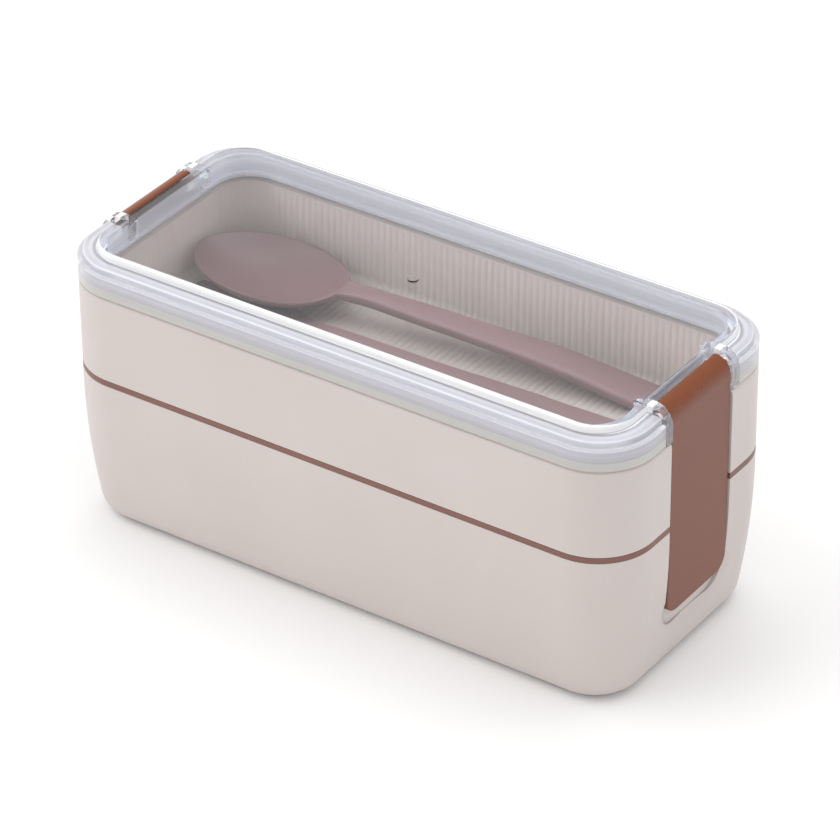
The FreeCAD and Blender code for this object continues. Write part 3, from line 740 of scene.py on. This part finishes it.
def tray_profile():
    """Levels from the rim to the floor's middle.

    Each is its inset, height, inward part, upward part, rib height and share of the way in.
    """
    levels = []
    for height in (LINER_TOP, RIB_TOP + RIB_RUNOUT, RIB_TOP, 70.0, 64.0):
        inset = TRAY_INSET * (TRAY_RIM - height) / (TRAY_RIM - TRAY_FLOOR)
        ribs = RIB_HEIGHT if height <= RIB_TOP else 0.0
        levels.append((inset, height, 1.0, 0.0, ribs, 0.0))
    for index in range(FILLET_STEPS + 1):
        turn = math.pi / 2 * index / FILLET_STEPS
        inset = TRAY_INSET + TRAY_FILLET * (1 - math.cos(turn))
        height = TRAY_FLOOR + TRAY_FILLET * (1 - math.sin(turn))
        levels.append((inset, height, math.cos(turn), math.sin(turn), RIB_HEIGHT, 0.0))
    for to_middle in (0.35, 0.7, 1.0):
        inset = TRAY_INSET + TRAY_FILLET
        levels.append((inset, TRAY_FLOOR, 0.0, 1.0, RIB_HEIGHT, to_middle))
    return levels


def liner_point(row, level, behind):
    """One point of the liner's ribbed front or of the back that lies inside the tier's wall."""
    x, y, nx, ny, phase, share = row
    inset, height, inward, up, ribs, to_middle = level
    end_hub = TRAY_X - TRAY_CORNER
    fade = share if share == 1.0 else share * (1 - to_middle)
    lift = LINER_PROUD + ribs * fade * abs(math.sin(math.pi * phase)) ** 0.8
    lift = -LINER_SUNK if behind else lift
    px = x - nx * (inset + inward * lift)
    py = y - ny * (inset + inward * lift)
    goal = min(max(x, -end_hub), end_hub)
    return (px + (goal - px) * to_middle, py * (1 - to_middle), height + up * lift)


def tray_liner():
    """The tray's ribbed inner skin, closed by a back skin."""
    bm = bmesh.new()
    path = tray_path()
    levels = tray_profile()
    skins = [
        [[bm.verts.new(liner_point(row, level, behind)) for row in path] for level in levels]
        for behind in (False, True)
    ]
    for skin in skins:
        for first, second in zip(skin, skin[1:]):
            stitch(bm, first, second)
    stitch(bm, skins[0][0], skins[1][0])
    bmesh.ops.remove_doubles(bm, verts=bm.verts, dist=WELD)
    return bm


# The liner's lighter plastic is painted light, with painted shade towards its floor.
piece("tray_ribs", tray_liner(), LIT_TRAY, "upper", None)


# ---------------------------------------------------------------- studio
FLOOR_SIZE = 12.0
FLOOR_HEIGHT = -0.0002
FLOOR_DARK = (0.93, 0.93, 0.93, 1)
FLOOR_LIGHT = (0.95, 0.95, 0.95, 1)


def plane(name, size, height):
    """A level square at a height."""
    mesh = bpy.data.meshes.new(name)
    half = size / 2
    signs = ((-1, -1), (1, -1), (1, 1), (-1, 1))
    corners = [(sx * half, sy * half, height) for sx, sy in signs]
    mesh.from_pydata(corners, [], [(0, 1, 2, 3)])
    item = bpy.data.objects.new(name, mesh)
    bpy.context.scene.collection.objects.link(item)
    return item


def studio_grey(name):
    """Matt paper of the studio floor."""
    mat = bpy.data.materials.new(name)
    t = Tree(mat)
    colour = t.blend(t.noise(t.object_place(), 3.0), FLOOR_DARK, FLOOR_LIGHT)
    t.end(t.principled(colour, 0.9, Specular_IOR_Level=0.1))
    return mat


floor = plane("studio_floor", FLOOR_SIZE, FLOOR_HEIGHT)
floor.data.materials.append(studio_grey("studio_floor"))

world = bpy.data.worlds.new("studio")
bpy.context.scene.world = world
sky = Tree(world)
background = sky.add("ShaderNodeBackground", {"Color": WHITE, "Strength": 0.85})
sky.add("ShaderNodeOutputWorld", {"Surface": background})


def lamp(name, place, aim, size, power):
    """A rectangular area light at place that faces aim."""
    data = bpy.data.lights.new(name, "AREA")
    data.shape = "RECTANGLE"
    data.size, data.size_y = size
    data.energy = power
    item = bpy.data.objects.new(name, data)
    bpy.context.scene.collection.objects.link(item)
    item.location = place
    item.rotation_mode = "QUATERNION"
    item.rotation_quaternion = (Vector(aim) - Vector(place)).to_track_quat("-Z", "Y")


MIDDLE = Vector((0.0, 0.0, 0.045))
lamp("key", (-0.9, -0.7, 1.3), MIDDLE, (1.4, 1.4), 9.0)
lamp("top", (0.1, 0.5, 1.5), MIDDLE, (1.6, 1.0), 7.0)

AZIMUTH = math.radians(34.754)
ELEVATION = math.radians(32.878)
ROLL = math.radians(-0.511)
AIM = Vector((-0.00973, 0.016796, 0.030505))
DISTANCE = 1.3616
SENSOR_WIDTH = 36.0
LENS = 201.94
back = Vector(
    (
        math.sin(AZIMUTH) * math.cos(ELEVATION),
        -math.cos(AZIMUTH) * math.cos(ELEVATION),
        math.sin(ELEVATION),
    )
)
right = (-back).cross(Vector((0, 0, 1))).normalized()
upward = right.cross(-back)
cam_right = math.cos(ROLL) * right + math.sin(ROLL) * upward
cam_up = -math.sin(ROLL) * right + math.cos(ROLL) * upward
camera_data = bpy.data.cameras.new("camera")
camera_data.sensor_width = SENSOR_WIDTH
camera_data.lens = LENS
camera_data.clip_start = 0.01
camera_data.clip_end = 50.0
camera = bpy.data.objects.new("camera", camera_data)
bpy.context.scene.collection.objects.link(camera)
turn = Matrix((cam_right, cam_up, back)).transposed()
camera.matrix_world = Matrix.Translation(AIM + DISTANCE * back) @ turn.to_4x4()
bpy.context.scene.camera = camera
bpy.context.scene.view_settings.view_transform = "Standard"
